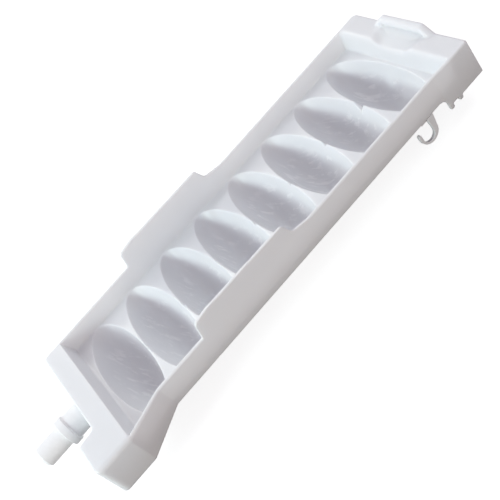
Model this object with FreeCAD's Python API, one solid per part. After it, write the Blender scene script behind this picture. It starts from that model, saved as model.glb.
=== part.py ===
import FreeCAD, Part
import math
import os

from FreeCAD import Vector

# Twist tray of an ice maker, in millimetres.
# X runs along the pivot axis from the spigot to the driven end, Y to the back, Z up.
# The origin is on the pivot axis, at the shoulder where the spigot's end peg begins.

# Tray body, overall
tray_near_x = 17.1
tray_length = 279.0
tray_half_width = 49.0
rim_height = 11.5
wall = 1.8
corner_radius = 3.0
rim_rounding = 0.8
land_rounding = 3.0

# Scoops that hold the water, a row of crescents open at the deck
cup_count = 8
cup_pitch = 30.3
first_cup_setback = 32.5
cup_half_length = 46.5
cup_half_width = 14.8
cup_depth = 25.0
deck_drop = 12.0

# Weir notches that level the water between neighbouring scoops, the last one deeper
weir_depth = 2.8
last_weir_depth = 5.4
weir_slope = 0.8
weir_reach = 5.0
runnel_depth = 0.9
runnel_half_width = 1.3
runnel_length = 9.0
runnel_lean = 4.1

# Skirt below the rim: shallow along the middle, deeper at both ends
middle_skirt = 16.4
near_skirt = 22.7
far_skirt = 22.6
near_flare = 7.8
far_flare = 0.8
near_flare_length = 12.0
flare_run = 27.0
far_flare_run = 12.0
far_apron_length = 27.5
skirt_bend = 6.0
far_bend = 4.0
far_corner_radius = 1.4

# Near end: a broad land at rim height and the stop block in front
land_width = 13.0
end_wall_slope = 2.5
block_reach = 11.0
block_width = 27.0
block_corner = 3.6
block_step = 1.5
inner_corner = 0.6

# Splash wings on both long walls
wing_start = 72.5
wing_length = 68.0
wing_height = 10.4
wing_tail = 11.0
wing_near_run = 2.4
wing_far_run = 2.6
wing_tail_height = 2.2
wing_near_dip = 0.6
wing_far_dip = 0.4
wing_crown = 0.7
wing_crown_run = 9.0
wing_foot_rounding = 1.0
wing_near_rounding = 3.0
wing_crown_rounding = 20.0
wing_far_rounding = 1.8
wing_tail_rounding = 2.5
tail_sink = 0.1

# Far end: a land at rim height, a crest with a rolled lip, and a funnel that leads the water in
far_wall = 2.0
far_land_width = 14.9
far_land_rounding = 2.5
crest_half_width = 25.0
crest_back_run = 9.5
crest_front_run = 6.0
crest_height = 6.0
crest_rounding = 1.6
lip_radius = 2.2
lip_setback = 0.3

# Funnel sections: distance from the far wall, half width at the rim, half width of the floor, depth
funnel_sections = [
    (0.0, 22.5, 18.0, 0.6),
    (6.0, 20.0, 12.5, 2.7),
    (17.0, 14.5, 8.5, 4.2),
]

# Cable lugs under the far apron
lug_width = 3.0
lug_drop = 2.6
lug_thickness = 2.0
lug_gap = 4.2
lug_rounding = 0.9
lug_proud = 0.2

# Spigot at the near end, with the bush that turns on its neck
peg_radius = 6.5
peg_length = 17.9
peg_chamfer = 1.6
neck_radius = 5.0
root_grip = 11.0
root_groove_depth = 0.5
root_groove_width = 2.0
root_groove_place = 6.6
boss_wall = 3.0
bush_hub_radius = 7.75
bush_flange_radius = 8.75
bush_flange_width = 5.0
bush_rounding = 0.5

# Fits, and how far a feature sinks into the wall that it is part of
sink = 1.5
seam = 0.2
overlap = 0.5
running_fit = 0.05
end_play = 0.3
press_grip = 0.02

# Socket insert at the driven end
coupler_radius = 7.0
coupler_flat = 6.0
coupler_length = 7.2
coupler_flange_radius = 9.5
coupler_flange = 2.0
socket_radius = 5.0
socket_flat = 3.4
socket_floor = 1.5
coupler_chamfer = 0.5
housing_wall = 1.6

# Wire hook under the front wall
hook_from_far_end = 45.3
hook_drop = 7.2
hook_radius = 6.6
hook_bore = 4.05
bore_shift = 0.7
bore_drop = 1.0
hook_root = 4.8
hook_flare = 1.2
hook_depth = 2.2
hook_tip = 3.2
hook_tip_rounding = 0.8
hook_inset = 0.1
hook_tab_width = 6.0
hook_tab_setback = 2.6
hook_tab_thickness = 2.0
hook_tab_drop = 2.0

# Temperature sensor between the two middle scoops, under its cover
sensor_radius = 3.4
sensor_length = 24.0
sensor_rounding = 1.0
pad_width = 7.0
pad_length = 26.0
cover_width = 13.0
cover_length = 40.0
cover_thickness = 1.6
cover_leg = 3.4
cover_leg_thickness = 1.4
cover_corner = 1.5
rib_thickness = 1.6
rib_spacing = 31.0
seat_gap = 0.15

# Places that follow from the sizes above
tray_far_x = tray_near_x + tray_length
deck_height = rim_height - deck_drop
first_cup_x = tray_near_x + first_cup_setback
cup_centres = [first_cup_x + cup_pitch * i for i in range(cup_count)]
cup_ball_radius = (cup_half_length ** 2 + cup_depth ** 2) / (2 * cup_depth)
cup_axis_height = deck_height - cup_depth + cup_ball_radius
cup_ball_half_width = cup_half_width * cup_ball_radius / cup_half_length
belly_radius = cup_ball_radius + wall
belly_half_width = cup_ball_half_width + wall
tray_bottom = cup_axis_height - belly_radius
land_x = tray_near_x + land_width
near_y = -tray_half_width - near_flare
far_y = -tray_half_width - far_flare
block_x = tray_near_x - block_reach
middle_bottom = rim_height - middle_skirt
near_bottom = rim_height - near_skirt
far_bottom = rim_height - far_skirt
near_flare_x = tray_near_x + near_flare_length
flare_end_x = near_flare_x + flare_run
far_apron_x = tray_far_x - far_apron_length
far_inner_x = tray_far_x - far_wall
far_land_x = tray_far_x - far_land_width
far_foot_x = far_land_x - end_wall_slope
sensor_x = (cup_centres[(cup_count - 1) // 2] + cup_centres[(cup_count - 1) // 2 + 1]) / 2

# Heights and widths well clear of the tray, for cutting shapes
deep = -60.0
tall = 60.0
aside = 90.0
tiny = 1e-4


def corner_arc(before, corner, after, radius):
    """Tangent points and middle of the arc that rounds one corner of an outline."""
    a = (before - corner).normalize()
    b = (after - corner).normalize()
    half = a.getAngle(b) / 2
    setback = radius / math.tan(half)
    middle = (a + b).normalize()
    start = corner + a * setback
    end = corner + b * setback
    centre = corner + middle * (radius / math.sin(half))
    return start, centre - middle * radius, end


def rounded_face(corners):
    """Flat face from corners given as (point, rounding radius)."""
    count = len(corners)
    edges = []
    last = None
    first = None
    for i, (corner, radius) in enumerate(corners):
        before = corners[i - 1][0]
        after = corners[(i + 1) % count][0]
        if radius > 0:
            start, middle, end = corner_arc(before, corner, after, radius)
            arc = Part.Arc(start, middle, end).toShape()
        else:
            start, end, arc = corner, corner, None
        if last is None:
            first = start
        elif (start - last).Length > 1e-6:
            edges.append(Part.makeLine(last, start))
        if arc:
            edges.append(arc)
        last = end
    if (first - last).Length > 1e-6:
        edges.append(Part.makeLine(last, first))
    return Part.Face(Part.Wire(edges))


def plan_prism(corners, low, high):
    """Upright prism over an outline of (x, y, radius) corners."""
    face = rounded_face([(Vector(x, y, low), r) for x, y, r in corners])
    return face.extrude(Vector(0, 0, high - low))


def side_prism(corners, front, back):
    """Prism along Y over an outline of (x, z, radius) corners."""
    face = rounded_face([(Vector(x, front, z), r) for x, z, r in corners])
    return face.extrude(Vector(0, back - front, 0))


def end_prism(corners, near, far):
    """Prism along X over an outline of (y, z, radius) corners."""
    face = rounded_face([(Vector(near, y, z), r) for y, z, r in corners])
    return face.extrude(Vector(far - near, 0, 0))


def block(low, high):
    """Plain box between two corners."""
    size = [b - a for a, b in zip(low, high)]
    return Part.makeBox(*size, Vector(*low))


def rod(radius, near, far, y=0.0, z=0.0):
    """Round bar along X."""
    return Part.makeCylinder(radius, far - near, Vector(near, y, z), Vector(1, 0, 0))


def edges_where(shape, test):
    """Edges whose sampled points all pass a test."""
    found = []
    for edge in shape.Edges:
        if edge.Length < 0.05:
            continue
        first, last = edge.ParameterRange
        points = [edge.valueAt(first + (last - first) * t) for t in (0.05, 0.35, 0.65, 0.95)]
        if all(test(p) for p in points):
            found.append(edge)
    return found


def scoop(centre_x, half_width, radius, top):
    """Ball stretched narrow along X, kept below the given height."""
    centre = Vector(centre_x, 0, cup_axis_height)
    oval = Part.Ellipse(centre - Vector(0, 0, radius), centre + Vector(half_width, 0, 0), centre)
    curve = oval.toShape(-math.pi / 2, math.pi / 2)
    axis_line = Part.makeLine(curve.valueAt(curve.LastParameter), curve.valueAt(curve.FirstParameter))
    half_oval = Part.Face(Part.Wire([curve, axis_line]))
    half_oval.rotate(centre, Vector(1, 0, 0), -90)
    ball = half_oval.revolve(centre, Vector(1, 0, 0), 180)
    keep = block(
        (centre_x - half_width - 1, -radius - 1, deep - 10),
        (centre_x + half_width + 1, radius + 1, top),
    )
    return ball.common(keep)


def body_outline(inset):
    """Plan of the tray seen from above, drawn in by a wall or not at all."""
    near_block_y = near_y + block_width
    flare_angle = math.atan2(near_flare, flare_run)
    far_angle = math.atan2(far_flare, far_flare_run)
    shift = inset * math.tan(flare_angle / 2)
    far_shift = inset * math.tan(far_angle / 2)
    far_inset = far_wall if inset else 0
    step = 0 if inset else block_step

    def bend(radius):
        return max(radius - inset, inner_corner)

    return [
        (tray_near_x + inset, tray_half_width - inset, bend(corner_radius)),
        (tray_near_x + inset, near_block_y - inset, bend(block_step)),
        (block_x + inset, near_block_y - inset - step, bend(block_step)),
        (block_x + inset, near_y + inset, bend(block_corner)),
        (near_flare_x + shift, near_y + inset, 0),
        (flare_end_x + shift, -tray_half_width + inset, 0),
        (far_apron_x + far_shift, -tray_half_width + inset, 0),
        (far_apron_x + far_flare_run + far_shift, far_y + inset, 0),
        (tray_far_x - far_inset, far_y + inset, bend(far_corner_radius)),
        (tray_far_x - far_inset, tray_half_width - inset, bend(corner_radius)),
    ]


def skirt_profile():
    """Side view of everything above the skirt's lower edge."""
    return [
        (block_x - 5, tall, 0),
        (block_x - 5, near_bottom, 0),
        (near_flare_x, near_bottom, skirt_bend),
        (flare_end_x, middle_bottom, skirt_bend),
        (far_apron_x, middle_bottom, far_bend),
        (far_apron_x, far_bottom, rim_rounding),
        (tray_far_x + 5, far_bottom, 0),
        (tray_far_x + 5, tall, 0),
    ]


def wing_profile():
    """Side view of a splash wing, with its feet sunk a little into the wall."""
    start = tray_near_x + wing_start
    end = start + wing_length
    top = rim_height + wing_height
    return [
        (start - overlap, rim_height - sink, 0),
        (start, rim_height, wing_foot_rounding),
        (start + wing_near_run, top - wing_near_dip, wing_near_rounding),
        (start + wing_near_run + wing_crown_run, top + wing_crown, wing_crown_rounding),
        (end, top - wing_far_dip, wing_far_rounding),
        (end + wing_far_run, rim_height + wing_tail_height, wing_tail_rounding),
        (end + wing_far_run + wing_tail, rim_height - tail_sink, 0),
        (end + wing_far_run + wing_tail, rim_height - sink, 0),
    ]


def outer_body():
    """Solid block with the tray's outer shape, before it is hollowed."""
    body = plan_prism(body_outline(0), deep, rim_height)
    return body.common(side_prism(skirt_profile(), -aside, aside))


def rounded_rim(body, edges):
    """Rim with its outer edge rounded, most at the front of the near land."""
    document = FreeCAD.newDocument()
    holder = document.addObject("Part::Feature", "Body")
    holder.Shape = body
    rounding = document.addObject("Part::Fillet", "Rim")
    rounding.Base = holder
    plan = []
    for edge in edges:
        number = [i for i, other in enumerate(body.Edges) if other.isSame(edge)][0] + 1
        ends = []
        for at in edge.ParameterRange:
            ends.append(rim_radius(edge.valueAt(at)))
        plan.append((number, ends[0], ends[1]))
    rounding.Edges = plan
    document.recompute()
    shape = rounding.Shape.copy()
    FreeCAD.closeDocument(document.Name)
    return shape


def rim_radius(point):
    """Rounding of the rim at a place: wide along the near front, fading out with the flare."""
    if point.y > near_y + tiny and point.x < near_flare_x:
        return rim_rounding
    fade = min(max((point.x - near_flare_x) / flare_run, 0), 1)
    return land_rounding + (rim_rounding - land_rounding) * fade


def trough():
    """Open space above the deck, from the near land to the far wall."""
    inner = plan_prism(body_outline(wall), deck_height, tall)
    lower_x = land_x + end_wall_slope
    side = [
        (lower_x, deck_height, 0),
        (land_x, rim_height, 0),
        (land_x, tall, 0),
        (far_land_x + 2 * far_land_rounding, tall, 0),
        (far_land_x + 2 * far_land_rounding, rim_height, 0),
        (far_land_x, rim_height, far_land_rounding),
        (far_foot_x, deck_height, 0),
    ]
    return inner.common(side_prism(side, -aside, aside))


def funnel(grow):
    """Shallow funnel in the far land, as a space or, grown by a wall, as the shell under it."""
    top = rim_height - seam if grow else rim_height + sink
    wires = []
    for setback, rim_half, floor_half, drop in funnel_sections:
        x = far_inner_x - setback
        shoulder = rim_height - grow
        floor = rim_height - drop - grow
        half = [(rim_half + grow, top), (rim_half + grow, shoulder), (floor_half + grow, floor)]
        points = [Vector(x, -y, z) for y, z in half] + [Vector(x, y, z) for y, z in reversed(half)]
        wires.append(Part.makePolygon(points + [points[0]]))
    return Part.makeLoft(wires, True, True)


def crest():
    """Low gable on the far wall above the funnel."""
    front = -crest_half_width
    back = crest_half_width
    outline = [
        (front, rim_height - sink, 0),
        (front, rim_height, 0),
        (front + crest_front_run, rim_height + crest_height, crest_rounding),
        (back - crest_back_run, rim_height + crest_height, crest_rounding),
        (back, rim_height, 0),
        (back, rim_height - sink, 0),
    ]
    return end_prism(outline, far_inner_x, tray_far_x)


def lip_line():
    """Centre line of the rolled lip: up one slope of the crest, along its top and down the other."""
    inset = lip_radius + lip_setback
    low = rim_height - sink
    high = rim_height + crest_height - inset
    places = []
    for side, run in ((-1, crest_front_run), (1, crest_back_run)):
        slant = math.hypot(run, crest_height)
        foot_y = crest_half_width - inset * slant / crest_height
        top_y = foot_y - (high - rim_height) * run / crest_height
        low_y = foot_y + (rim_height - low) * run / crest_height
        places.append([Vector(tray_far_x - inset, side * low_y, low),
                       Vector(tray_far_x - inset, side * top_y, high)])
    return [places[0][0], places[0][1], places[1][1], places[1][0]]


def lip():
    """Rolled lip along the inner side of the crest."""
    line = lip_line()
    bars = []
    for start, end in zip(line, line[1:]):
        bars.append(Part.makeCylinder(lip_radius, (end - start).Length, start, end - start))
    bends = [Part.makeSphere(lip_radius, point) for point in line[1:-1]]
    return bars[0].fuse(bars[1:] + bends)


def under_hollows():
    """Space under the deck and inside the two end boxes, open below."""
    inner = plan_prism(body_outline(wall), deep, tall)
    lower_x = land_x + end_wall_slope
    deck_under = deck_height - wall
    side = [
        (block_x - 5, deep + 1, 0),
        (tray_far_x + 5, deep + 1, 0),
        (tray_far_x + 5, rim_height - wall, 0),
        (far_land_x + wall, rim_height - wall, 0),
        (far_foot_x + wall, deck_under, 0),
        (lower_x, deck_under, 0),
        (lower_x - wall, deck_under, 0),
        (land_x - wall, rim_height - wall, 0),
        (block_x - 5, rim_height - wall, 0),
    ]
    return inner.common(side_prism(side, -aside, aside))


def coupler_body(grow, near, far):
    """Round bar with two flats, grown by a fit."""
    bar = rod(coupler_radius + grow, near, far)
    flat = coupler_flat + grow
    return bar.common(block((near, -flat, -20), (far, flat, 20)))


def make_tray():
    """The tray moulding with its scoops, walls, wings, crest and bosses."""
    body = outer_body()
    top_edges = edges_where(body, lambda p: abs(p.z - rim_height) < tiny)
    body = rounded_rim(body, top_edges)
    body = body.cut(under_hollows())
    bellies = [scoop(x, belly_half_width, belly_radius, deck_height - seam) for x in cup_centres]
    body = body.fuse(bellies + [funnel(wall)])
    body = body.cut(trough()).cut(funnel(0))
    housing_side = coupler_flat + housing_wall
    housing = block(
        (tray_far_x - coupler_length - housing_wall, -housing_side, -coupler_radius - housing_wall),
        (far_inner_x + overlap, housing_side, coupler_radius + seam),
    )
    boss = rod(neck_radius + boss_wall, tray_near_x + overlap, land_x + overlap)
    ribs = []
    for side in (-1, 1):
        y = side * rib_spacing / 2
        ribs.append(block(
            (sensor_x - cup_pitch / 2, y - rib_thickness / 2, tray_bottom + cover_thickness),
            (sensor_x + cup_pitch / 2, y + rib_thickness / 2, deck_height - wall / 2),
        ))
    additions = [crest(), lip(), housing, boss] + ribs
    for side in (-1, 1):
        near = side * tray_half_width
        far = side * (tray_half_width - wall)
        additions.append(side_prism(wing_profile(), min(near, far), max(near, far)))
    body = body.fuse(additions)
    scoops = [scoop(x, cup_ball_half_width, cup_ball_radius, deck_height + overlap) for x in cup_centres]
    body = body.cut(scoops)
    body = body.cut(weirs() + [runnel()])
    body = body.cut([
        rod(neck_radius - press_grip, tray_near_x - 1, tray_near_x + root_grip),
        coupler_body(-press_grip, tray_far_x - coupler_length, tray_far_x + 1),
    ])
    body = body.fuse(lugs())
    return body.removeSplitter()


def weirs():
    """Notches through the ridges between neighbouring scoops."""
    cuts = []
    for i, (before, after) in enumerate(zip(cup_centres, cup_centres[1:])):
        middle = (before + after) / 2
        depth = last_weir_depth if i == cup_count - 2 else weir_depth
        rise = depth + sink
        outline = [
            (0, deck_height - depth, 0),
            (rise * weir_slope, deck_height + sink, 0),
            (-rise * weir_slope, deck_height + sink, 0),
        ]
        cuts.append(end_prism(outline, middle - weir_reach, middle + weir_reach))
    return cuts


def runnel():
    """Narrow runnel down the scoop's far wall, begun just above the floor of the deepest notch."""
    top = deck_height - last_weir_depth + overlap
    rise = top - cup_axis_height
    wall_x = cup_centres[-2] + cup_ball_half_width * math.sqrt(1 - (rise / cup_ball_radius) ** 2)
    inner_x = wall_x + runnel_depth
    mouth_x = inner_x - 2 * runnel_depth
    corners = [Vector(inner_x, 0, top), Vector(mouth_x, runnel_half_width, top),
               Vector(mouth_x, -runnel_half_width, top)]
    face = Part.Face(Part.makePolygon(corners + [corners[0]]))
    return face.extrude(Vector(-runnel_lean, 0, -runnel_length))


def lugs():
    """Two short lugs under the far apron's front wall."""
    pieces = []
    for i in range(2):
        near = far_apron_x + i * (lug_width + lug_gap)
        outline = [
            (near, far_bottom + sink, 0),
            (near, far_bottom - lug_drop, lug_rounding),
            (near + lug_width, far_bottom - lug_drop, lug_rounding),
            (near + lug_width, far_bottom + sink, 0),
        ]
        front = -tray_half_width - (i + 1) * lug_proud
        pieces.append(side_prism(outline, front, front + lug_thickness))
    return pieces


def make_pin():
    """Stepped spigot: end peg, neck for the bush and root in the tray's boss."""
    peg = rod(peg_radius, -peg_length, 0)
    tip_edges = edges_where(peg, lambda p: abs(p.x + peg_length) < tiny)
    peg = peg.makeChamfer(peg_chamfer, tip_edges)
    stem = rod(neck_radius, -overlap, tray_near_x + root_grip)
    near = tray_near_x + root_groove_place
    far = near + root_groove_width
    groove = rod(neck_radius + overlap, near, far)
    groove = groove.cut(rod(neck_radius - root_groove_depth, near, far))
    return peg.fuse(stem).cut(groove)


def make_bush():
    """Flanged bush that turns on the spigot's neck."""
    near = end_play
    far = tray_near_x - end_play
    hub = rod(bush_hub_radius, near, far)
    flange = rod(bush_flange_radius, near, near + bush_flange_width)
    body = hub.fuse(flange)
    round_edges = edges_where(body, lambda p: math.hypot(p.y, p.z) > bush_flange_radius - tiny)
    round_edges = [e for e in round_edges if e.BoundBox.XLength < tiny]
    body = body.makeFillet(bush_rounding, round_edges)
    return body.cut(rod(neck_radius + running_fit, near - 1, far + 1))


def make_coupler():
    """Insert at the driven end, with a two-flat socket for the drive shaft."""
    near = tray_far_x - coupler_length
    body = coupler_body(0, near, tray_far_x)
    flange = rod(coupler_flange_radius, tray_far_x, tray_far_x + coupler_flange)
    rim = edges_where(flange, lambda p: abs(p.x - tray_far_x - coupler_flange) < tiny)
    body = body.fuse(flange.makeChamfer(coupler_chamfer, rim))
    socket = rod(socket_radius, near + socket_floor, tray_far_x + coupler_flange + 1)
    flats = block((near, -20, -socket_flat), (tray_far_x + 10, 20, socket_flat))
    return body.cut(socket.common(flats))


def make_hook():
    """J-shaped hook with a flared root, and a tab behind the front wall."""
    front = -tray_half_width + hook_inset
    x = tray_far_x - hook_from_far_end
    z = middle_bottom - hook_drop
    bore_x = x - bore_shift
    bore_z = z - bore_drop
    right = x + hook_radius
    left = x - hook_radius
    disc = Part.makeCylinder(hook_radius, hook_depth, Vector(x, front, z), Vector(0, 1, 0))
    bowl = disc.common(block((left - 1, front - 1, deep), (right + 1, front + hook_depth + 1, z)))
    root_far = right + hook_flare
    stem = side_prism([
        (x, z, 0),
        (right, z, 0),
        (root_far, middle_bottom, 0),
        (root_far - hook_root, middle_bottom, 0),
        (x, z + hook_tip, 0),
    ], front, front + hook_depth)
    tip = side_prism([
        (left, z, 0),
        (left, z + hook_tip, hook_tip_rounding),
        (bore_x - hook_bore, z + hook_tip, hook_tip_rounding),
        (bore_x - hook_bore, z, 0),
    ], front, front + hook_depth)
    bore = Part.makeCylinder(hook_bore, hook_depth, Vector(bore_x, front, bore_z), Vector(0, 1, 0))
    mouth = side_prism([
        (bore_x - hook_bore, bore_z, 0),
        (bore_x + hook_bore, bore_z, 0),
        (root_far - hook_root, middle_bottom, 0),
        (bore_x - hook_bore, middle_bottom, 0),
    ], front, front + hook_depth)
    tab_back = -tray_half_width + wall
    tab_low = middle_bottom - hook_tab_drop
    tab_far = root_far - hook_tab_setback
    tab_high = deck_height - wall - seat_gap
    tab = block(
        (tab_far - hook_tab_width, tab_back, tab_low),
        (tab_far, tab_back + hook_tab_thickness, tab_high),
    )
    body = bowl.fuse([stem, tip]).cut([bore, mouth])
    return body.fuse(tab).removeSplitter()


def belly_gap(height):
    """Distance from a point under the ridge at this height to the belly beside it."""
    gaps = []
    for i in range(181):
        turn = math.radians(i / 2)
        across = cup_pitch / 2 - belly_half_width * math.cos(turn)
        below = height - cup_axis_height + belly_radius * math.sin(turn)
        gaps.append(math.hypot(across, below))
    return min(gaps)


def sensor_height():
    """Height at which the capsule's side rests against both bellies."""
    height = tray_bottom + sensor_radius
    while belly_gap(height) > sensor_radius + seat_gap:
        height += seat_gap / 3
    return height - seat_gap / 3


def make_sensor():
    """Round sensor capsule lying in the groove between two bellies."""
    start = Vector(sensor_x, -sensor_length / 2, sensor_height())
    capsule = Part.makeCylinder(sensor_radius, sensor_length, start, Vector(0, 1, 0))
    return capsule.makeFillet(sensor_rounding, [e for e in capsule.Edges if e.BoundBox.YLength < tiny])


def make_pad():
    """Foam pad that presses the capsule up against the bellies."""
    low = (sensor_x - pad_width / 2, -pad_length / 2, tray_bottom + cover_thickness)
    high = (sensor_x + pad_width / 2, pad_length / 2, sensor_height() - sensor_radius)
    return block(low, high)


def make_cover():
    """Flat cover under the sensor, with a leg outside each rib."""
    near = sensor_x - cover_width / 2
    far = sensor_x + cover_width / 2
    side_y = cover_length / 2
    corners = [(near, -side_y), (near, side_y), (far, side_y), (far, -side_y)]
    outline = [(x, y, cover_corner) for x, y in corners]
    plate = plan_prism(outline, tray_bottom, tray_bottom + cover_thickness)
    legs = []
    for side in (-1, 1):
        inner = side * (rib_spacing / 2 + rib_thickness / 2 + seat_gap)
        outer = inner + side * cover_leg_thickness
        legs.append(block(
            (sensor_x - pad_width / 2, min(inner, outer), tray_bottom + cover_thickness / 2),
            (sensor_x + pad_width / 2, max(inner, outer), tray_bottom + cover_thickness + cover_leg),
        ))
    return plate.fuse(legs).removeSplitter()


def main():
    os.makedirs("parts", exist_ok=True)
    pieces = {
        "ice_tray": make_tray(),
        "pivot_pin": make_pin(),
        "pivot_bush": make_bush(),
        "drive_coupler": make_coupler(),
        "wire_hook": make_hook(),
        "sensor_capsule": make_sensor(),
        "sensor_pad": make_pad(),
        "sensor_cover": make_cover(),
    }
    for name, shape in pieces.items():
        box = shape.BoundBox
        print(name, "solids", len(shape.Solids), "valid", shape.isValid(), "volume", round(shape.Volume, 1),
              "box", [round(v, 2) for v in (box.XMin, box.XMax, box.YMin, box.YMax, box.ZMin, box.ZMax)])
        shape.exportStep(f"parts/{name}.step")


main()
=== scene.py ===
"""Looks of an ice maker's twist tray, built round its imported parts. Lengths are in metres."""

import math

import bmesh
import bpy
import numpy
from mathutils import Matrix, Vector


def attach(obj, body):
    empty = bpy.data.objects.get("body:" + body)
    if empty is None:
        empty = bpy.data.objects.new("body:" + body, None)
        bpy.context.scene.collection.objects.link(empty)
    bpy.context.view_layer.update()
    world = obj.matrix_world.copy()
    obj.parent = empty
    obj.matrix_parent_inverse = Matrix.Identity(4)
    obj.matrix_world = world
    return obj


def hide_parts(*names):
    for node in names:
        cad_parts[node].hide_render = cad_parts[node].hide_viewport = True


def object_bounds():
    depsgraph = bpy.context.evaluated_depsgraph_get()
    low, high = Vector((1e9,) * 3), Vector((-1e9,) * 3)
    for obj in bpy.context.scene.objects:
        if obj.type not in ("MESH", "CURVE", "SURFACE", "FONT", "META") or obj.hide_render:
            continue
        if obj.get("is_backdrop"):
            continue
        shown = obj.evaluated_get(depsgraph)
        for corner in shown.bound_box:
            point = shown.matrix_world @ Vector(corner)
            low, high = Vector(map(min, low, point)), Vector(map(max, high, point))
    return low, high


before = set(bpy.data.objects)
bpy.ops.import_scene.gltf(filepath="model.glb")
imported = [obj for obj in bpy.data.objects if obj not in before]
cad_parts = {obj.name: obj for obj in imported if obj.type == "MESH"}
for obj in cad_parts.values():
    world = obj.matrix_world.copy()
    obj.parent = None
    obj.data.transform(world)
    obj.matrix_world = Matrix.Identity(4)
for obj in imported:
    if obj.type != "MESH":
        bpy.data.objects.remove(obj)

bl_info = {
    "name": "Ice Twist Tray",
    "version": (1, 0, 0),
    "blender": (4, 5, 0),
    "location": "3D View > Sidebar > Ice Tray",
    "description": "Skins, moulding marks and plastics of an ice maker's twist tray, and its studio",
    "category": "Object",
}

# Vertices nearer than this are one vertex
MERGE = 2e-6

# Boxes round the places that the mould leaves softer, as low and high corners
FUNNEL = ((0.262, -0.0475, 0.004), (0.2915, 0.0475, 0.0128))
BLOCK_EDGE = ((0.0045, -0.060, 0.003), (0.055, -0.048, 0.0135))
BLOCK_CORNER = ((0.0030, -0.061, -0.0145), (0.0170, -0.049, 0.0145))

# Softening fades over this distance inside a box's faces, in this many steps
FADE = 0.003
LEVELS = 4
SMOOTH_FACTOR = 0.5

# Where the tray's painted highlight flecks and painted skirt shade begin and end, each as the start
# and end of a smooth step
SCOOP_FLOOR_Z = (-0.005, -0.013)
SCOOP_MIDDLE_Y = 0.010
SCOOP_REACH = (0.032, 0.014)
WALL_FACE_Y = (0.0466, 0.0476)
NEAR_BLOCK_X = (0.0075, 0.0115)
SKIRT_SHADE_Z = (0.010, -0.011)

# Shades of a plastic's own colour, the painted shade in the foam's pores, and the paler tone of its
# worn places
TRAY_SHADE = 0.965
FITTING_SHADE = 0.96
FOAM_PORE_PAINTED_SHADE = 0.5
FLOOR_SHADE = 0.985
WORN_TONE = 1.06
WORN_SHARE = 0.25

# Scratches run at this angle, drawn out by these scales
SCRATCH_TURN = math.radians(-25)
SCRATCH_STRETCH = (1.0, 0.12, 0.4)

MARK_SIDES = 40
FLOOR_GAP = 0.0001
SENSOR_WIDTH = 36.0
CLIP_START = 0.01
CLIP_END = 20.0


class TraySettings(bpy.types.PropertyGroup):
    """Skin and plastic of the moulded tray."""

    voxel: bpy.props.FloatProperty(
        name="Skin cell",
        description="Cell size of the tray's skin; edges are rounded to about twice this",
        default=0.0005,
        min=0.0002,
        unit="LENGTH",
        precision=5,
    )
    softening: bpy.props.IntProperty(
        name="Softening",
        description="Smoothing passes over the moulded edges",
        default=3,
        min=0,
    )
    funnel_softening: bpy.props.IntProperty(
        name="Funnel softening",
        description="More smoothing passes over the funnel in the far land",
        default=45,
        min=0,
    )
    block_softening: bpy.props.IntProperty(
        name="Block softening",
        description="More smoothing passes over the near land's front edge",
        default=30,
        min=0,
    )
    triangles: bpy.props.IntProperty(
        name="Triangles",
        description="Most triangles the finished skin may have",
        default=190000,
        min=1000,
    )
    colour: bpy.props.FloatVectorProperty(
        name="Plastic colour",
        description="Colour of the clean tray plastic",
        default=(0.80, 0.81, 0.83),
        subtype="COLOR",
        size=3,
        min=0,
        max=1,
    )
    # Painted shade: greys the outer walls towards their lower edge, standing in for less light
    # coming through from the lit trough
    skirt_shade_colour: bpy.props.FloatVectorProperty(
        name="Skirt colour",
        description="Greyer colour of the walls towards their lower edge, away from the lit trough",
        default=(0.655, 0.65, 0.655),
        subtype="COLOR",
        size=3,
        min=0,
        max=1,
    )
    # Painted highlight: the pale colour of the flecks on the scoop floors
    highlight_fleck_colour: bpy.props.FloatVectorProperty(
        name="Rubbed colour",
        description="Paler colour where the scoops are scuffed",
        default=(0.95, 0.955, 0.965),
        subtype="COLOR",
        size=3,
        min=0,
        max=1,
    )
    roughness: bpy.props.FloatProperty(
        name="Roughness",
        description="Roughness of the moulded surface",
        default=0.42,
        min=0,
        max=1,
        subtype="FACTOR",
    )
    milkiness: bpy.props.FloatProperty(
        name="Milkiness",
        description="Share of the light that passes into the plastic and spreads there",
        default=0.5,
        min=0,
        max=1,
        subtype="FACTOR",
    )
    milk_depth: bpy.props.FloatProperty(
        name="Milk depth",
        description="How far light spreads inside the plastic",
        default=0.004,
        min=0,
        unit="LENGTH",
        precision=5,
    )
    # Painted highlight: how strongly the pale flecks show on the scoop floors
    fleck_highlight: bpy.props.FloatProperty(
        name="Scuffs",
        description="How strongly the floors of the scoops are scuffed",
        default=0.75,
        min=0,
        max=1,
        subtype="FACTOR",
    )


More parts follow.
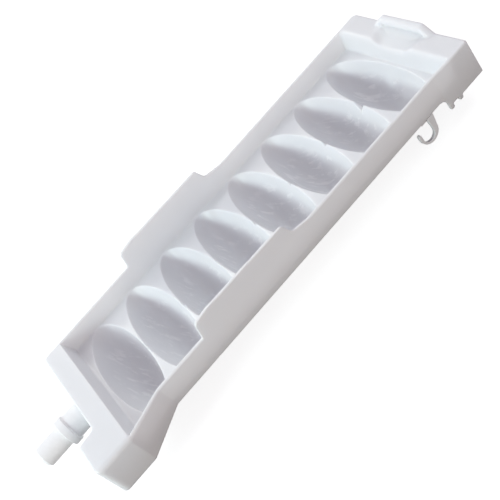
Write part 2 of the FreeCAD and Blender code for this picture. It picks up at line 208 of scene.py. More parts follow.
class FittingSettings(bpy.types.PropertyGroup):
    """Peg, bush, coupler, hook and sensor parts."""

    fine_voxel: bpy.props.FloatProperty(
        name="Fine skin cell",
        description="Cell size of the skins of the small parts",
        default=0.0002,
        min=0.0001,
        unit="LENGTH",
        precision=5,
    )
    fine_softening: bpy.props.IntProperty(
        name="Fine softening",
        description="Smoothing passes over the small parts' edges",
        default=4,
        min=0,
    )
    fine_triangles: bpy.props.IntProperty(
        name="Fine triangles",
        description="Most triangles the skin of a small part may have",
        default=36000,
        min=1000,
    )
    peg_colour: bpy.props.FloatVectorProperty(
        name="Peg colour",
        description="Colour of the pivot peg and bush",
        default=(0.91, 0.915, 0.925),
        subtype="COLOR",
        size=3,
        min=0,
        max=1,
    )
    # Painted shade: greyer than the tray plastic, standing in for the shade the hook sits in under
    # the front wall
    hook_shaded_colour: bpy.props.FloatVectorProperty(
        name="Hook colour",
        description="Colour of the lead hook",
        default=(0.74, 0.74, 0.745),
        subtype="COLOR",
        size=3,
        min=0,
        max=1,
    )
    coupler_colour: bpy.props.FloatVectorProperty(
        name="Coupler colour",
        description="Colour of the drive coupler",
        default=(0.78, 0.78, 0.79),
        subtype="COLOR",
        size=3,
        min=0,
        max=1,
    )
    sensor_colour: bpy.props.FloatVectorProperty(
        name="Sensor colour",
        description="Colour of the sensor capsule and its cover",
        default=(0.76, 0.765, 0.77),
        subtype="COLOR",
        size=3,
        min=0,
        max=1,
    )
    foam_colour: bpy.props.FloatVectorProperty(
        name="Foam colour",
        description="Colour of the sensor's foam pad",
        default=(0.055, 0.057, 0.062),
        subtype="COLOR",
        size=3,
        min=0,
        max=1,
    )


class MarkSettings(bpy.types.PropertyGroup):
    """Round witness marks that the mould's ejector pins leave under the deck."""

    diameter: bpy.props.FloatProperty(
        name="Mark diameter",
        description="Diameter of one ejector mark",
        default=0.0045,
        min=0.001,
        unit="LENGTH",
        precision=5,
    )
    height: bpy.props.FloatProperty(
        name="Mark height",
        description="How far a mark stands off the surface",
        default=0.00018,
        min=0,
        unit="LENGTH",
        precision=5,
    )
    pitch: bpy.props.FloatProperty(
        name="Pitch",
        description="Distance between marks along the tray",
        default=0.0303,
        min=0.001,
        unit="LENGTH",
        precision=5,
    )
    count: bpy.props.IntProperty(
        name="Count", description="Marks in one row", default=7, min=1
    )
    first: bpy.props.FloatProperty(
        name="First mark",
        description="Distance along the tray of the first mark",
        default=0.06475,
        unit="LENGTH",
        precision=5,
    )
    setback: bpy.props.FloatProperty(
        name="Row distance",
        description="Distance of each row from the pivot axis",
        default=0.0420,
        unit="LENGTH",
        precision=5,
    )
    deck_underside: bpy.props.FloatProperty(
        name="Deck underside",
        description="Height of the surface that carries the marks",
        default=-0.0023,
        unit="LENGTH",
        precision=5,
    )


class StageSettings(bpy.types.PropertyGroup):
    """Floor, lamps and camera."""

    floor_colour: bpy.props.FloatVectorProperty(
        name="Floor colour",
        description="Colour that the floor throws back at the tray",
        default=(0.22, 0.22, 0.225),
        subtype="COLOR",
        size=3,
        min=0,
        max=1,
    )
    floor_width: bpy.props.FloatProperty(
        name="Floor width",
        description="Side of the square floor",
        default=6.0,
        min=0.5,
        unit="LENGTH",
    )
    floor_white: bpy.props.FloatProperty(
        name="Floor white",
        description="How bright the floor looks in the deepest shadow",
        default=0.85,
        min=0,
        max=1,
        subtype="FACTOR",
    )
    floor_shade: bpy.props.FloatProperty(
        name="Floor shade",
        description="Share of the lamps' light that shows on the floor, and so its shadow",
        default=0.35,
        min=0,
        max=1,
        subtype="FACTOR",
    )
    lamp_distance: bpy.props.FloatProperty(
        name="Lamp distance",
        description="Distance from the tray to each lamp",
        default=1.2,
        min=0.5,
        unit="LENGTH",
    )
    lamp_width: bpy.props.FloatProperty(
        name="Lamp width",
        description="Diameter of each round soft lamp",
        default=0.34,
        min=0.05,
        unit="LENGTH",
    )
    lamp_level: bpy.props.FloatProperty(
        name="Lamp level", description="Scales all the lamps together", default=1.0, min=0
    )
    sky: bpy.props.FloatProperty(
        name="Room light", description="Strength of the even room light", default=0.50, min=0
    )
    sky_colour: bpy.props.FloatVectorProperty(
        name="Room colour",
        description="Colour of the even room light",
        default=(0.975, 0.905, 1.0),
        subtype="COLOR",
        size=3,
        min=0,
        max=1,
    )
    camera_place: bpy.props.FloatVectorProperty(
        name="Camera place",
        description="Where the camera stands",
        default=(0.1031, -0.3830, 0.2850),
        subtype="TRANSLATION",
        size=3,
        unit="LENGTH",
    )
    camera_tilt: bpy.props.FloatProperty(
        name="Camera tilt",
        description="Angle up from looking straight down",
        default=math.radians(52.403),
        subtype="ANGLE",
    )
    camera_turn: bpy.props.FloatProperty(
        name="Camera turn",
        description="Angle about the vertical",
        default=math.radians(-5.984),
        subtype="ANGLE",
    )
    camera_roll: bpy.props.FloatProperty(
        name="Camera roll",
        description="Angle about the camera's own line of sight",
        default=math.radians(-44.913),
        subtype="ANGLE",
    )
    lens: bpy.props.FloatProperty(
        name="Lens", description="Focal length on a 36 mm sensor", default=61.58, min=1
    )


# Shader nodes


def group_node(tree, group, **values):
    """A placed node group; an input's name is given with underscores for its spaces."""
    node = tree.nodes.new("ShaderNodeGroup")
    node.node_tree = group
    for name, value in values.items():
        node.inputs[name.replace("_", " ")].default_value = value
    return node


def shader_group(name, inputs, outputs):
    """An empty shader node group with the sockets asked for, and its input and output nodes."""
    group = bpy.data.node_groups.new(name, "ShaderNodeTree")
    for label, kind, default in inputs:
        socket = group.interface.new_socket(label, in_out="INPUT", socket_type=kind)
        if default is not None:
            socket.default_value = default
    for label, kind in outputs:
        group.interface.new_socket(label, in_out="OUTPUT", socket_type=kind)
    return group, group.nodes.new("NodeGroupInput"), group.nodes.new("NodeGroupOutput")


def noise_node(tree, vector, scale, detail=3.0, rough=0.55, distortion=0.0):
    node = tree.nodes.new("ShaderNodeTexNoise")
    node.inputs["Detail"].default_value = detail
    node.inputs["Roughness"].default_value = rough
    node.inputs["Distortion"].default_value = distortion
    if isinstance(scale, (int, float)):
        node.inputs["Scale"].default_value = scale
    else:
        tree.links.new(scale, node.inputs["Scale"])
    tree.links.new(vector, node.inputs["Vector"])
    return node.outputs["Fac"]


def stretch_node(tree, vector, scale, turn):
    """The vector turned about the vertical and then scaled, so that a pattern runs one way."""
    for label, value in (("Rotation", (0.0, 0.0, turn)), ("Scale", scale)):
        node = tree.nodes.new("ShaderNodeMapping")
        node.inputs[label].default_value = value
        tree.links.new(vector, node.inputs["Vector"])
        vector = node.outputs["Vector"]
    return vector


def range_node(tree, value, low, high, to_low=0.0, to_high=1.0):
    node = tree.nodes.new("ShaderNodeMapRange")
    node.interpolation_type = "SMOOTHSTEP"
    for label, number in zip(
        ("From Min", "From Max", "To Min", "To Max"), (low, high, to_low, to_high)
    ):
        node.inputs[label].default_value = number
    tree.links.new(value, node.inputs["Value"])
    return node.outputs["Result"]


def maths_node(tree, operation, first, second):
    """A maths node's result from sockets or numbers; ABSOLUTE reads only the first."""
    node = tree.nodes.new("ShaderNodeMath")
    node.operation = operation
    for socket, value in zip(node.inputs, (first, second)):
        if isinstance(value, (int, float)):
            socket.default_value = value
        else:
            tree.links.new(value, socket)
    return node.outputs["Value"]


def mix_node(tree, amount, first, second):
    node = tree.nodes.new("ShaderNodeMix")
    node.data_type = "RGBA"
    tree.links.new(amount, node.inputs["Factor"])
    for label, value in (("A", first), ("B", second)):
        socket = next(s for s in node.inputs if s.name == label and s.type == "RGBA")
        if isinstance(value, bpy.types.NodeSocket):
            tree.links.new(value, socket)
        else:
            socket.default_value = (*value, 1.0)
    return next(s for s in node.outputs if s.type == "RGBA")


def moulded_grain():
    """Fine spark-eroded grain with broad, faint waviness, as a bump height and a roughness shift."""
    group, given, result = shader_group(
        "moulded grain",
        [
            ("Vector", "NodeSocketVector", None),
            ("Grain scale", "NodeSocketFloat", 2600.0),
            ("Wave scale", "NodeSocketFloat", 60.0),
            ("Grain share", "NodeSocketFloat", 0.35),
            ("Roughness", "NodeSocketFloat", 0.42),
            ("Roughness spread", "NodeSocketFloat", 0.12),
        ],
        [("Height", "NodeSocketFloat"), ("Roughness", "NodeSocketFloat")],
    )
    vector = given.outputs["Vector"]
    fine = noise_node(group, vector, given.outputs["Grain scale"], detail=2.0, rough=0.6)
    broad = noise_node(group, vector, given.outputs["Wave scale"], detail=3.0, rough=0.5)
    grain = maths_node(group, "MULTIPLY", fine, given.outputs["Grain share"])
    height = maths_node(group, "ADD", grain, broad)
    shift = maths_node(group, "SUBTRACT", broad, 0.5)
    spread = maths_node(group, "MULTIPLY", shift, given.outputs["Roughness spread"])
    rough = maths_node(group, "ADD", given.outputs["Roughness"], spread)
    group.links.new(height, result.inputs["Height"])
    group.links.new(rough, result.inputs["Roughness"])
    return group


def wear_and_highlight_marks():
    """Fine scratches and pale flecks that run roughly one way: wear on the fittings, and a painted
    highlight in the tray's scoops.
    """
    group, given, result = shader_group(
        "wear and highlight marks",
        [
            ("Vector", "NodeSocketVector", None),
            ("Scratch scale", "NodeSocketFloat", 420.0),
            ("Patch scale", "NodeSocketFloat", 70.0),
        ],
        [("Scratches", "NodeSocketFloat"), ("Patches", "NodeSocketFloat")],
    )
    vector = given.outputs["Vector"]
    along = stretch_node(group, vector, SCRATCH_STRETCH, SCRATCH_TURN)
    scratch_scale = given.outputs["Scratch scale"]
    patch_scale = given.outputs["Patch scale"]
    streak = noise_node(group, along, scratch_scale, detail=3.0, rough=0.6, distortion=0.4)
    patch = noise_node(group, vector, patch_scale, detail=3.0, rough=0.6, distortion=0.8)
    scratches = range_node(group, streak, low=0.50, high=0.62)
    patches = range_node(group, patch, low=0.38, high=0.58)
    group.links.new(scratches, result.inputs["Scratches"])
    group.links.new(patches, result.inputs["Patches"])
    return group


def new_material(name):
    material = bpy.data.materials.new(name)
    material.use_nodes = True
    tree = material.node_tree
    tree.nodes.clear()
    out = tree.nodes.new("ShaderNodeOutputMaterial")
    shader = tree.nodes.new("ShaderNodeBsdfPrincipled")
    tree.links.new(shader.outputs["BSDF"], out.inputs["Surface"])
    place = tree.nodes.new("ShaderNodeTexCoord").outputs["Object"]
    return material, tree, shader, place


def add_bump(tree, shader, height, strength, distance):
    bump = tree.nodes.new("ShaderNodeBump")
    bump.inputs["Strength"].default_value = strength
    bump.inputs["Distance"].default_value = distance
    tree.links.new(height, bump.inputs["Height"])
    tree.links.new(bump.outputs["Normal"], shader.inputs["Normal"])


def tray_plastic(settings):
    """White polypropylene: milky and satin, with pale flecks painted on the floors of the scoops as
    a highlight, and painted shade greying the outer walls towards their lower edge.
    """
    material, tree, shader, place = new_material("tray_polypropylene")
    grain = group_node(
        tree,
        bpy.data.node_groups["moulded grain"],
        Roughness=settings.roughness,
        Roughness_spread=0.14,
        Wave_scale=42.0,
        Grain_share=0.25,
    )
    marks = group_node(tree, bpy.data.node_groups["wear and highlight marks"])
    tree.links.new(place, grain.inputs["Vector"])
    tree.links.new(place, marks.inputs["Vector"])
    split = tree.nodes.new("ShaderNodeSeparateXYZ")
    tree.links.new(place, split.inputs["Vector"])
    low = range_node(tree, split.outputs["Z"], *SCOOP_FLOOR_Z)
    behind = maths_node(tree, "SUBTRACT", split.outputs["Y"], SCOOP_MIDDLE_Y)
    middle = range_node(tree, maths_node(tree, "ABSOLUTE", behind, 0.0), *SCOOP_REACH)
    aside = maths_node(tree, "ABSOLUTE", split.outputs["Y"], 0.0)
    at_wall = range_node(tree, aside, *WALL_FACE_Y)
    past_end = range_node(tree, split.outputs["X"], *NEAR_BLOCK_X)
    # Painted shade mask: outer wall faces past the near block, growing darker towards the lower edge
    sunk = range_node(tree, split.outputs["Z"], *SKIRT_SHADE_Z)
    painted_skirt_shade = maths_node(tree, "MULTIPLY", maths_node(tree, "MULTIPLY", at_wall, past_end), sunk)
    # Painted highlight mask: pale flecks on the middle of the scoop floors
    fleck_pattern = maths_node(tree, "MULTIPLY", marks.outputs["Scratches"], marks.outputs["Patches"])
    highlight_in_scoops = maths_node(tree, "MULTIPLY", maths_node(tree, "MULTIPLY", fleck_pattern, low), middle)
    amount = maths_node(tree, "MULTIPLY", highlight_in_scoops, settings.fleck_highlight)
    tint = noise_node(tree, place, scale=18.0, detail=2.0)
    shade = tuple(channel * TRAY_SHADE for channel in settings.colour)
    walls = mix_node(tree, tint, shade, settings.colour)
    # Mixes the painted skirt shade into the wall colour
    clean = mix_node(tree, painted_skirt_shade, walls, settings.skirt_shade_colour)
    colour = mix_node(tree, amount, clean, settings.highlight_fleck_colour)
    tree.links.new(colour, shader.inputs["Base Color"])
    tree.links.new(grain.outputs["Roughness"], shader.inputs["Roughness"])
    shader.inputs["Specular IOR Level"].default_value = 0.42
    shader.inputs["Subsurface Weight"].default_value = settings.milkiness
    shader.inputs["Subsurface Radius"].default_value = (1.0, 0.95, 0.9)
    shader.inputs["Subsurface Scale"].default_value = settings.milk_depth
    add_bump(tree, shader, grain.outputs["Height"], strength=0.18, distance=0.0004)
    return material


def fitting_plastic(name, colour, roughness, wave=90.0, grain_share=0.3, specular=0.45):
    """A small moulded part's plastic, with its grain and light handling marks."""
    material, tree, shader, place = new_material(name)
    grain = group_node(
        tree,
        bpy.data.node_groups["moulded grain"],
        Roughness=roughness,
        Wave_scale=wave,
        Grain_share=grain_share,
    )
    marks = group_node(
        tree, bpy.data.node_groups["wear and highlight marks"], Scratch_scale=900.0, Patch_scale=160.0
    )
    tree.links.new(place, grain.inputs["Vector"])
    tree.links.new(place, marks.inputs["Vector"])
    worn = maths_node(tree, "MULTIPLY", marks.outputs["Scratches"], WORN_SHARE)
    paler = tuple(min(1.0, channel * WORN_TONE) for channel in colour)
    tone = noise_node(tree, place, scale=55.0, detail=2.0)
    darker = tuple(channel * FITTING_SHADE for channel in colour)
    base = mix_node(tree, tone, darker, colour)
    tree.links.new(mix_node(tree, worn, base, paler), shader.inputs["Base Color"])
    tree.links.new(grain.outputs["Roughness"], shader.inputs["Roughness"])
    shader.inputs["Specular IOR Level"].default_value = specular
    add_bump(tree, shader, grain.outputs["Height"], strength=0.15, distance=0.0002)
    return material


def foam_material(colour):
    """Closed-cell foam: cut pores, painted darker as shade in their hollows, over a soft uneven
    surface.
    """
    material, tree, shader, place = new_material("pad_closed_cell_foam")
    cells = tree.nodes.new("ShaderNodeTexVoronoi")
    cells.inputs["Scale"].default_value = 1500.0
    tree.links.new(place, cells.inputs["Vector"])
    pore = range_node(tree, cells.outputs["Distance"], low=0.1, high=0.55)
    lumps = noise_node(tree, place, scale=240.0, detail=3.0)
    # Painted shade: the pores are darker than the foam around them
    pore_shade_colour = tuple(channel * FOAM_PORE_PAINTED_SHADE for channel in colour)
    tree.links.new(mix_node(tree, pore, pore_shade_colour, colour), shader.inputs["Base Color"])
    rough = range_node(tree, lumps, low=0.3, high=0.7, to_low=0.8, to_high=0.95)
    tree.links.new(rough, shader.inputs["Roughness"])
    height = maths_node(tree, "ADD", pore, lumps)
    add_bump(tree, shader, height, strength=0.6, distance=0.0003)
    return material


# Meshes


def shown(name, mesh, material, body):
    """A finished piece at the origin, in its plastic, riding on its body."""
    piece = bpy.data.objects.new(name, mesh)
    bpy.context.scene.collection.objects.link(piece)
    mesh.materials.clear()
    mesh.materials.append(material)
    mesh.shade_smooth()
    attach(piece, body)
    return piece


def merged_copy(node):
    """A copy of a node's mesh with its loose triangles joined into closed solids."""
    mesh = bpy.data.meshes.new(node + "_copy")
    work = bmesh.new()
    work.from_mesh(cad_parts[node].data)
    bmesh.ops.remove_doubles(work, verts=work.verts, dist=MERGE)
    work.to_mesh(mesh)
    work.free()
    return mesh


def evaluated(mesh, *modifiers, weights=None):
    """The mesh after a stack of modifiers, each a kind and its values; weights fill "zone"."""
    helper = bpy.data.objects.new("helper", mesh)
    bpy.context.scene.collection.objects.link(helper)
    if weights is not None:
        group = helper.vertex_groups.new(name="zone")
        for level in range(1, LEVELS + 1):
            chosen = numpy.flatnonzero(weights * LEVELS >= level - 0.5)
            group.add(chosen.tolist(), level / LEVELS, "REPLACE")
    for kind, values in modifiers:
        modifier = helper.modifiers.new(kind, kind)
        for name, value in values.items():
            setattr(modifier, name, value)
    graph = bpy.context.evaluated_depsgraph_get()
    made = bpy.data.meshes.new_from_object(helper.evaluated_get(graph))
    bpy.data.objects.remove(helper)
    return made


def triangle_count(mesh):
    return sum(len(polygon.vertices) - 2 for polygon in mesh.polygons)


def zone_weights(mesh, low, high):
    """1 inside a box, fading to 0 at its faces, for each vertex."""
    places = numpy.empty(len(mesh.vertices) * 3, dtype=numpy.float32)
    mesh.vertices.foreach_get("co", places)
    places = places.reshape(-1, 3)
    inside = numpy.minimum(places - numpy.array(low), numpy.array(high) - places).min(axis=1)
    return numpy.clip(inside / FADE, 0, 1)


def soft_skin(node, voxel, passes, triangles, zones=()):
    """The node's shape with every edge rounded as a mould leaves it, and more so in zones."""
    fine = evaluated(
        merged_copy(node),
        ("REMESH", {"mode": "VOXEL", "voxel_size": voxel, "adaptivity": 0.0}),
        ("SMOOTH", {"factor": SMOOTH_FACTOR, "iterations": passes}),
    )
    for low, high, more in zones:
        smooth = {"factor": SMOOTH_FACTOR, "iterations": more, "vertex_group": "zone"}
        fine = evaluated(fine, ("SMOOTH", smooth), weights=zone_weights(fine, low, high))
    ratio = triangles / max(triangles, triangle_count(fine))
    if ratio >= 1.0:
        return fine
    return evaluated(fine, ("DECIMATE", {"ratio": ratio, "use_collapse_triangulate": True}))


class OBJECT_OT_ice_tray_skin(bpy.types.Operator):
    """Build the tray's skin: scoops, walls, funnel and housings in one moulding"""

    bl_idname = "object.ice_tray_skin"
    bl_label = "Tray"

    def execute(self, context):
        settings = context.scene.ice_tray
        zones = [
            (*FUNNEL, settings.funnel_softening),
            (*BLOCK_EDGE, settings.block_softening),
            (*BLOCK_CORNER, settings.block_softening),
        ]
        mesh = soft_skin(
            "ice_tray", settings.voxel, settings.softening, settings.triangles, zones
        )
        piece = shown("tray_moulding", mesh, tray_plastic(settings), "tray")
        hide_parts("ice_tray")
        return {"FINISHED"}


def fine_part(context, node, name, material, body):
    """A small part's skin, in place of its node."""
    settings = context.scene.ice_tray_fittings
    mesh = soft_skin(
        node, settings.fine_voxel, settings.fine_softening, settings.fine_triangles
    )
    piece = shown(name, mesh, material, body)
    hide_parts(node)
    return piece


class OBJECT_OT_ice_tray_pivot(bpy.types.Operator):
    """Build the pivot peg and the bush that turns on its neck"""

    bl_idname = "object.ice_tray_pivot"
    bl_label = "Pivot peg and bush"

    def execute(self, context):
        colour = tuple(context.scene.ice_tray_fittings.peg_colour)
        peg = fitting_plastic("peg_acetal", colour, roughness=0.36)
        bush = fitting_plastic("bush_acetal", colour, roughness=0.33, wave=120.0)
        fine_part(context, "pivot_pin", "pivot_peg", peg, "tray")
        fine_part(context, "pivot_bush", "turning_bush", bush, "bush")
        return {"FINISHED"}


class OBJECT_OT_ice_tray_coupler(bpy.types.Operator):
    """Build the drive coupler at the far end"""

    bl_idname = "object.ice_tray_coupler"
    bl_label = "Drive coupler"

    def execute(self, context):
        colour = tuple(context.scene.ice_tray_fittings.coupler_colour)
        material = fitting_plastic("coupler_acetal", colour, roughness=0.38)
        fine_part(
            context, "drive_coupler", "splined_coupler", material, "tray"
        )
        return {"FINISHED"}


class OBJECT_OT_ice_tray_hook(bpy.types.Operator):
    """Build the open hook that holds the sensor's lead"""

    bl_idname = "object.ice_tray_hook"
    bl_label = "Lead hook"

    def execute(self, context):
        # Painted shade: the hook's greyer colour
        colour = tuple(context.scene.ice_tray_fittings.hook_shaded_colour)
        material = fitting_plastic("hook_plastic", colour, roughness=0.4, wave=140.0)
        fine_part(context, "wire_hook", "lead_hook", material, "tray")
        return {"FINISHED"}


class OBJECT_OT_ice_tray_sensor(bpy.types.Operator):
    """Build the sensor capsule, its foam pad and the cover that holds them"""

    bl_idname = "object.ice_tray_sensor"
    bl_label = "Sensor parts"

    def execute(self, context):
        settings = context.scene.ice_tray_fittings
        colour = tuple(settings.sensor_colour)
        capsule = fitting_plastic("capsule_plastic", colour, roughness=0.3, wave=160.0)
        cover = fitting_plastic("cover_plastic", colour, roughness=0.42)
        foam = foam_material(tuple(settings.foam_colour))
        fine_part(context, "sensor_capsule", "sensor_body", capsule, "tray")
        fine_part(context, "sensor_cover", "sensor_lid", cover, "tray")
        pad = fine_part(context, "sensor_pad", "foam_pad", foam, "tray")
        return {"FINISHED"}


def witness_tree():
    """Geometry nodes: rows of low round marks, one either side of the tray."""
    tree = bpy.data.node_groups.new("ejector marks", "GeometryNodeTree")
    for label, kind in (
        ("Count", "NodeSocketInt"),
        ("Pitch", "NodeSocketFloat"),
        ("Start", "NodeSocketVector"),
        ("Radius", "NodeSocketFloat"),
        ("Height", "NodeSocketFloat"),
        ("Row gap", "NodeSocketFloat"),
        ("Plastic", "NodeSocketMaterial"),
    ):
        tree.interface.new_socket(label, in_out="INPUT", socket_type=kind)
    tree.interface.new_socket("Geometry", in_out="OUTPUT", socket_type="NodeSocketGeometry")
    given = tree.nodes.new("NodeGroupInput")
    result = tree.nodes.new("NodeGroupOutput")
    row = tree.nodes.new("GeometryNodeMeshLine")
    step = tree.nodes.new("ShaderNodeCombineXYZ")
    disc = tree.nodes.new("GeometryNodeMeshCylinder")
    disc.inputs["Vertices"].default_value = MARK_SIDES
    place = tree.nodes.new("GeometryNodeInstanceOnPoints")
    other = tree.nodes.new("GeometryNodeTransform")
    across = tree.nodes.new("ShaderNodeCombineXYZ")
    join = tree.nodes.new("GeometryNodeJoinGeometry")
    real = tree.nodes.new("GeometryNodeRealizeInstances")
    paint = tree.nodes.new("GeometryNodeSetMaterial")
    link = tree.links.new
    link(given.outputs["Count"], row.inputs["Count"])
    link(given.outputs["Start"], row.inputs["Start Location"])
    link(given.outputs["Pitch"], step.inputs["X"])
    link(step.outputs["Vector"], row.inputs["Offset"])
    link(given.outputs["Radius"], disc.inputs["Radius"])
    link(given.outputs["Height"], disc.inputs["Depth"])
    link(row.outputs["Mesh"], place.inputs["Points"])
    link(disc.outputs["Mesh"], place.inputs["Instance"])
    link(place.outputs["Instances"], other.inputs["Geometry"])
    link(given.outputs["Row gap"], across.inputs["Y"])
    link(across.outputs["Vector"], other.inputs["Translation"])
    link(place.outputs["Instances"], join.inputs["Geometry"])
    link(other.outputs["Geometry"], join.inputs["Geometry"])
    link(join.outputs["Geometry"], real.inputs["Geometry"])
    link(real.outputs["Geometry"], paint.inputs["Geometry"])
    link(given.outputs["Plastic"], paint.inputs["Material"])
    link(paint.outputs["Geometry"], result.inputs["Geometry"])
    return tree


def grown(tree, name, **values):
    """The plain mesh that a geometry nodes tree makes with these named inputs."""
    helper = bpy.data.objects.new(name, bpy.data.meshes.new(name))
    bpy.context.scene.collection.objects.link(helper)
    modifier = helper.modifiers.new("made", "NODES")
    modifier.node_group = tree
    sockets = {
        item.name: item.identifier
        for item in tree.interface.items_tree
        if item.item_type == "SOCKET" and item.in_out == "INPUT"
    }
    for label, value in values.items():
        modifier[sockets[label.replace("_", " ")]] = value
    graph = bpy.context.evaluated_depsgraph_get()
    mesh = bpy.data.meshes.new_from_object(helper.evaluated_get(graph))
    bpy.data.objects.remove(helper)
    return mesh


class OBJECT_OT_ice_tray_marks(bpy.types.Operator):
    """Build the ejector marks under the deck, two rows beside the scoops"""

    bl_idname = "object.ice_tray_marks"
    bl_label = "Ejector marks"

    def execute(self, context):
        marks = context.scene.ice_tray_marks
        plastic = bpy.data.materials["tray_polypropylene"]
        mesh = grown(
            witness_tree(),
            "marks",
            Count=marks.count,
            Pitch=marks.pitch,
            Start=(marks.first, -marks.setback, marks.deck_underside),
            Radius=marks.diameter / 2,
            Height=marks.height * 2,
            Row_gap=2 * marks.setback,
            Plastic=plastic,
        )
        shown("ejector_marks", mesh, plastic, "tray")
        return {"FINISHED"}


# Soft lamps round the tray: side, turn from the driven end, height angle, watts, colour.
# Watts and colours are rounded from a light fit made by another program.
LAMPS = (
    ("key", 195, 23, 6.3, (0.850, 1.0, 0.960)),
    ("key_upper", 165, 35, 3.1, (0.883, 0.954, 1.0)),
    ("back", 90, 30, 2.75, (0.974, 1.0, 0.894)),
    ("front", 270, 8, 2.6, (1.0, 0.874, 0.700)),
    ("far", 45, 45, 2.0, (0.948, 1.0, 0.977)),
)


def soft_lamp(settings, target, name, turn, rise, power, colour):
    """A round soft lamp that looks at the tray from a direction."""
    lamp = bpy.data.lights.new(name, "AREA")
    lamp.shape = "DISK"
    lamp.size = settings.lamp_width
    lamp.energy = power * settings.lamp_level
    lamp.color = colour
    turn, rise = math.radians(turn), math.radians(rise)
    away = Vector(
        (math.cos(turn) * math.cos(rise), math.sin(turn) * math.cos(rise), math.sin(rise))
    )
    holder = bpy.data.objects.new(name, lamp)
    holder.location = target + away * settings.lamp_distance
    holder.rotation_mode = "QUATERNION"
    holder.rotation_quaternion = (-away).to_track_quat("-Z", "Y")
    bpy.context.scene.collection.objects.link(holder)


def floor_material(settings):
    """A pale floor that looks white to the camera and still takes the tray's shadow."""
    colour = tuple(settings.floor_colour)
    shown_share = settings.floor_shade
    material, tree, shader, place = new_material("pale_floor")
    shader.inputs["Roughness"].default_value = 0.9
    shader.inputs["Specular IOR Level"].default_value = 0.0
    speck = noise_node(tree, place, scale=30.0, detail=2.0)
    dim = tuple(channel * FLOOR_SHADE for channel in colour)
    tree.links.new(mix_node(tree, speck, dim, colour), shader.inputs["Base Color"])
    seen = tree.nodes.new("ShaderNodeEmission")
    shade = tree.nodes.new("ShaderNodeBsdfDiffuse")
    shade.inputs["Color"].default_value = (shown_share, shown_share, shown_share, 1.0)
    seen.inputs["Strength"].default_value = settings.floor_white
    both = tree.nodes.new("ShaderNodeAddShader")
    pick = tree.nodes.new("ShaderNodeMixShader")
    path = tree.nodes.new("ShaderNodeLightPath")
    out = next(n for n in tree.nodes if n.type == "OUTPUT_MATERIAL")
    tree.links.new(seen.outputs["Emission"], both.inputs[0])
    tree.links.new(shade.outputs["BSDF"], both.inputs[1])
    tree.links.new(white_ray(tree, path), pick.inputs[0])
    tree.links.new(shader.outputs["BSDF"], pick.inputs[1])
    tree.links.new(both.outputs["Shader"], pick.inputs[2])
    tree.links.new(pick.outputs["Shader"], out.inputs["Surface"])
    return material


def white_ray(tree, path):
    """1 for a ray straight from the camera, or off gloss or through glass."""
    direct = maths_node(
        tree, "MAXIMUM", path.outputs["Is Camera Ray"], path.outputs["Is Glossy Ray"]
    )
    return maths_node(tree, "MAXIMUM", direct, path.outputs["Is Transmission Ray"])


def room_light(strength, colour):
    """Even light from all round, which looks plain white to the camera."""
    world = bpy.data.worlds.new("pale_room")
    world.use_nodes = True
    tree = world.node_tree
    tree.nodes.clear()
    out = tree.nodes.new("ShaderNodeOutputWorld")
    light = tree.nodes.new("ShaderNodeBackground")
    seen = tree.nodes.new("ShaderNodeBackground")
    light.inputs["Color"].default_value = (*colour, 1.0)
    light.inputs["Strength"].default_value = strength
    seen.inputs["Color"].default_value = (1.0, 1.0, 1.0, 1.0)
    pick = tree.nodes.new("ShaderNodeMixShader")
    path = tree.nodes.new("ShaderNodeLightPath")
    tree.links.new(white_ray(tree, path), pick.inputs[0])
    tree.links.new(light.outputs["Background"], pick.inputs[1])
    tree.links.new(seen.outputs["Background"], pick.inputs[2])
    tree.links.new(pick.outputs["Shader"], out.inputs["Surface"])
    bpy.context.scene.world = world


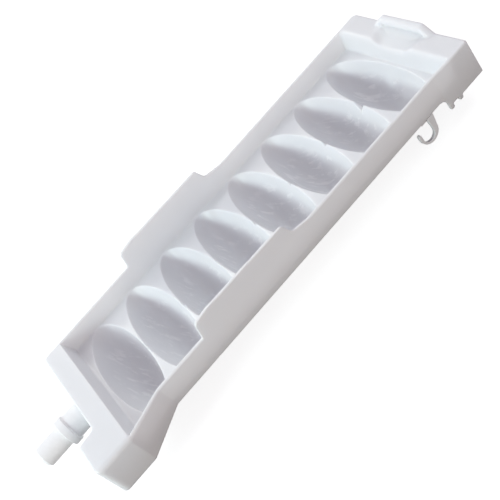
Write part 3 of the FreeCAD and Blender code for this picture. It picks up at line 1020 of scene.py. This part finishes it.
class OBJECT_OT_ice_tray_stage(bpy.types.Operator):
    """Build the pale floor, the soft lamps and the camera"""

    bl_idname = "object.ice_tray_stage"
    bl_label = "Stage"

    def execute(self, context):
        scene = context.scene
        settings = scene.ice_tray_stage
        half = settings.floor_width / 2
        low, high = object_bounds()
        corners = [(-half, -half), (half, -half), (half, half), (-half, half)]
        mesh = bpy.data.meshes.new("floor")
        height = low.z - FLOOR_GAP
        mesh.from_pydata([(x, y, height) for x, y in corners], [], [(0, 1, 2, 3)])
        floor = bpy.data.objects.new("pale_floor", mesh)
        scene.collection.objects.link(floor)
        mesh.materials.append(floor_material(settings))
        floor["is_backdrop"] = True
        target = (low + high) / 2
        for lamp in LAMPS:
            soft_lamp(settings, target, *lamp)
        room_light(settings.sky, tuple(settings.sky_colour))
        lens = bpy.data.cameras.new("camera")
        lens.lens = settings.lens
        lens.sensor_width = SENSOR_WIDTH
        lens.clip_start = CLIP_START
        lens.clip_end = CLIP_END
        camera = bpy.data.objects.new("camera", lens)
        aim = (
            Matrix.Rotation(settings.camera_turn, 4, "Z")
            @ Matrix.Rotation(settings.camera_tilt, 4, "X")
            @ Matrix.Rotation(settings.camera_roll, 4, "Z")
        )
        camera.matrix_world = Matrix.Translation(settings.camera_place) @ aim
        scene.collection.objects.link(camera)
        scene.camera = camera
        scene.view_settings.view_transform = "Standard"
        return {"FINISHED"}


class VIEW3D_PT_ice_tray(bpy.types.Panel):
    """Shows the tray's settings and a button for each building step"""

    bl_label = "Ice Tray"
    bl_idname = "VIEW3D_PT_ice_tray"
    bl_space_type = "VIEW_3D"
    bl_region_type = "UI"
    bl_category = "Ice Tray"

    def draw(self, context):
        layout = self.layout
        scene = context.scene
        for title, name in SETTINGS:
            column = layout.box().column(align=True)
            column.label(text=title)
            group = getattr(scene, name)
            for field in type(group).__annotations__:
                column.prop(group, field)
        for operator in OPERATORS:
            layout.operator(operator.bl_idname, text=operator.bl_label)


SETTINGS = (
    ("Tray", "ice_tray"),
    ("Fittings", "ice_tray_fittings"),
    ("Ejector marks", "ice_tray_marks"),
    ("Stage", "ice_tray_stage"),
)
GROUPS = (TraySettings, FittingSettings, MarkSettings, StageSettings)
OPERATORS = (
    OBJECT_OT_ice_tray_skin,
    OBJECT_OT_ice_tray_pivot,
    OBJECT_OT_ice_tray_coupler,
    OBJECT_OT_ice_tray_hook,
    OBJECT_OT_ice_tray_sensor,
    OBJECT_OT_ice_tray_marks,
    OBJECT_OT_ice_tray_stage,
)


def register():
    for made in (*GROUPS, *OPERATORS, VIEW3D_PT_ice_tray):
        bpy.utils.register_class(made)
    for (_, name), group in zip(SETTINGS, GROUPS):
        setattr(bpy.types.Scene, name, bpy.props.PointerProperty(type=group))


def unregister():
    for _, name in SETTINGS:
        delattr(bpy.types.Scene, name)
    for made in reversed((*GROUPS, *OPERATORS, VIEW3D_PT_ice_tray)):
        bpy.utils.unregister_class(made)


def main():
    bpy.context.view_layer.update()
    register()
    moulded_grain()
    wear_and_highlight_marks()
    for operator in OPERATORS:
        family, name = operator.bl_idname.split(".")
        getattr(getattr(bpy.ops, family), name)()


if __name__ == "__main__":
    main()
